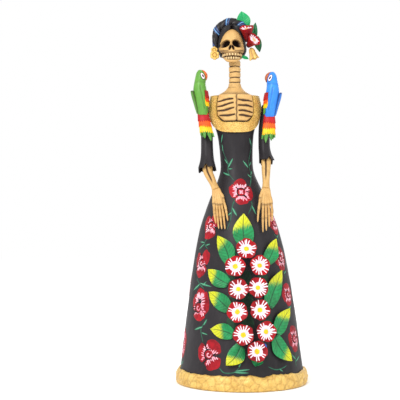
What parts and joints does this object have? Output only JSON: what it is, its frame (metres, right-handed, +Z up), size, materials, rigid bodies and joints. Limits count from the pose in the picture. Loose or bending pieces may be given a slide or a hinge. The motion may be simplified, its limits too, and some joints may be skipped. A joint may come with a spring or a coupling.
{
  "type": "papier-mache skeleton lady figure",
  "caption": "Standing skeleton lady in a long hollow painted gown with a raised bouquet, shoulder parrots and a flowered head that turns and lifts off its neck.",
  "frame": {"origin": "middle of the base board's underside, on the surface the figure stands on", "axes": "+Z up through the figure, -Y the way it faces, +X to the right of someone looking at its face"},
  "size_m": [0.1526, 0.1624, 0.4287],
  "materials": {
    "charcoal_paint": "satin",
    "grey_card": "matt",
    "gold_paint": "satin",
    "bone_paint": "matt",
    "crimson_paint": "satin",
    "leaf_paint": "satin",
    "green_feathers": "satin",
    "blue_feathers": "satin",
    "banded_feathers": "satin",
    "beak_orange": "satin",
    "hair_black": "satin",
    "iron_wire": "dull"
  },
  "bodies": {
    "figure": {"gown_shell": "charcoal_paint", "base_board": "grey_card", "hem_trim": "gold_paint", "yoke_front": "gold_paint", "yoke_back": "gold_paint", "rib_cage": "bone_paint", "neck": "bone_paint", "arm_wire": "iron_wire", "sleeve_left": "charcoal_paint", "forearm_left": "bone_paint", "hand_left": "bone_paint", "sleeve_right": "charcoal_paint", "forearm_right": "bone_paint", "hand_right": "bone_paint", "parrot_green_body": "green_feathers", "parrot_green_beak": "beak_orange", "parrot_green_wing_inner": "banded_feathers", "parrot_green_wing_outer": "green_feathers", "parrot_green_tail": "banded_feathers", "parrot_blue_body": "blue_feathers", "parrot_blue_beak": "beak_orange", "parrot_blue_wing_inner": "banded_feathers", "parrot_blue_wing_outer": "blue_feathers", "parrot_blue_tail": "banded_feathers", "flower_1": "crimson_paint", "flower_2": "crimson_paint", "flower_3": "crimson_paint", "flower_4": "crimson_paint", "flower_5": "crimson_paint", "flower_6": "crimson_paint", "flower_7": "crimson_paint", "flower_8": "crimson_paint", "flower_9": "crimson_paint", "flower_10": "crimson_paint", "leaf_1": "leaf_paint", "leaf_2": "leaf_paint", "leaf_3": "leaf_paint", "leaf_4": "leaf_paint", "leaf_5": "leaf_paint", "leaf_6": "leaf_paint", "leaf_7": "leaf_paint", "leaf_8": "leaf_paint", "leaf_9": "leaf_paint", "leaf_10": "leaf_paint", "leaf_11": "leaf_paint"},
    "stem": {"head_wire": "iron_wire"},
    "head": {"skull": "bone_paint", "hair": "hair_black", "braid": "hair_black", "earring_left": "gold_paint", "earring_right": "gold_paint", "head_flower_1": "crimson_paint", "head_flower_2": "crimson_paint", "head_leaf_1": "leaf_paint", "head_leaf_2": "leaf_paint", "head_leaf_3": "leaf_paint", "head_leaf_4": "leaf_paint"}
  },
  "joints": [
    {"name": "head_lift", "type": "slide", "parent": "figure", "child": "stem", "axis": [0, 0, 1], "range_m": [0, 0.045]},
    {"name": "head_turn", "type": "hinge", "parent": "stem", "child": "head", "pos_m": [-0.0075, 0, 0.371], "axis": [0, 0, 1], "continuous": true}
  ]
}
